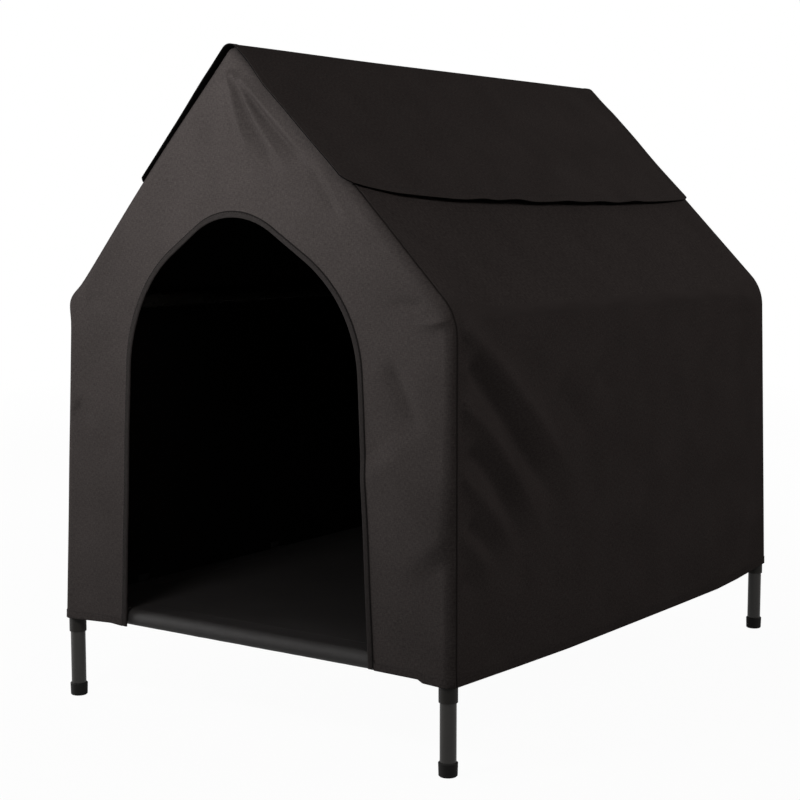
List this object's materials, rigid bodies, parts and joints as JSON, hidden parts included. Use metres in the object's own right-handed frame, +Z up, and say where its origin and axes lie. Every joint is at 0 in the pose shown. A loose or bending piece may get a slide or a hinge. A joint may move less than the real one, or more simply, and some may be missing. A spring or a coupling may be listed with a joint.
{
  "type": "raised dog bed with roof",
  "caption": "Raised pet bed on a plug-together tube frame, with a stretched mat, a fitted house-shaped cloth cover with an arched doorway, and a loose ridge cap whose flaps lift.",
  "frame": {"origin": "on the floor, under the middle of the bed's outer box", "axes": "+Z up, +Y from the doorway to the rear along the ridge, +X to the right as seen from the doorway"},
  "size_m": [0.6988, 1.0231, 0.945],
  "materials": {
    "frame_tube": "dark bronze-grey powder coat, satin",
    "frame_fitting": "dark bronze-grey powder coat, satin",
    "foot_rubber": "matt black moulded rubber",
    "cover_cloth": "brown-black plain-woven polyester, slightly heathered",
    "hem_cloth": "the cover's cloth, turned and stitched",
    "mat_cloth": "dark close-woven sling cloth",
    "binding_tape": "woven binding tape, stitched",
    "vent_mesh": "black knitted ventilation mesh",
    "hook_and_loop": "black hook-and-loop tape"
  },
  "bodies": {
    "frame": {"foot_cap_front_left": "foot_rubber", "leg_front_left": "frame_tube", "post_front_left": "frame_tube", "rafter_front_left": "frame_tube", "corner_connector_front_left": "frame_fitting", "eave_elbow_front_left": "frame_fitting", "foot_cap_front_right": "foot_rubber", "leg_front_right": "frame_tube", "post_front_right": "frame_tube", "rafter_front_right": "frame_tube", "corner_connector_front_right": "frame_fitting", "eave_elbow_front_right": "frame_fitting", "foot_cap_rear_left": "foot_rubber", "leg_rear_left": "frame_tube", "post_rear_left": "frame_tube", "rafter_rear_left": "frame_tube", "corner_connector_rear_left": "frame_fitting", "eave_elbow_rear_left": "frame_fitting", "foot_cap_rear_right": "foot_rubber", "leg_rear_right": "frame_tube", "post_rear_right": "frame_tube", "rafter_rear_right": "frame_tube", "corner_connector_rear_right": "frame_fitting", "eave_elbow_rear_right": "frame_fitting", "front_base_rail": "frame_tube", "front_ridge_connector": "frame_fitting", "front_hem": "hem_cloth", "front_hold_down_tabs": "hook_and_loop", "rear_base_rail": "frame_tube", "rear_ridge_connector": "frame_fitting", "rear_hem": "hem_cloth", "rear_hold_down_tabs": "hook_and_loop", "left_base_rail": "frame_tube", "left_eave_rail": "frame_tube", "cover_left_side": "cover_cloth", "left_side_hem": "hem_cloth", "left_vent_mesh": "vent_mesh", "left_hold_down_tabs": "hook_and_loop", "right_base_rail": "frame_tube", "right_eave_rail": "frame_tube", "cover_right_side": "cover_cloth", "right_side_hem": "hem_cloth", "right_vent_mesh": "vent_mesh", "right_hold_down_tabs": "hook_and_loop", "ridge_pole": "frame_tube", "sleeping_mat": "mat_cloth", "cover_front_panel": "cover_cloth", "cover_rear_panel": "cover_cloth", "ridge_strip": "cover_cloth", "door_binding": "binding_tape"},
    "left_flap": {"left_ridge_flap": "cover_cloth"},
    "right_flap": {"right_ridge_flap": "cover_cloth"}
  },
  "joints": [
    {"name": "left_flap_lift", "type": "hinge", "parent": "frame", "child": "left_flap", "pos_m": [-0.0215, 0, 0.92897], "axis": [0, 1, 0], "range_deg": [0, 90]},
    {"name": "right_flap_lift", "type": "hinge", "parent": "frame", "child": "right_flap", "pos_m": [0.0215, 0, 0.92897], "axis": [0, -1, 0], "range_deg": [0, 90]}
  ]
}
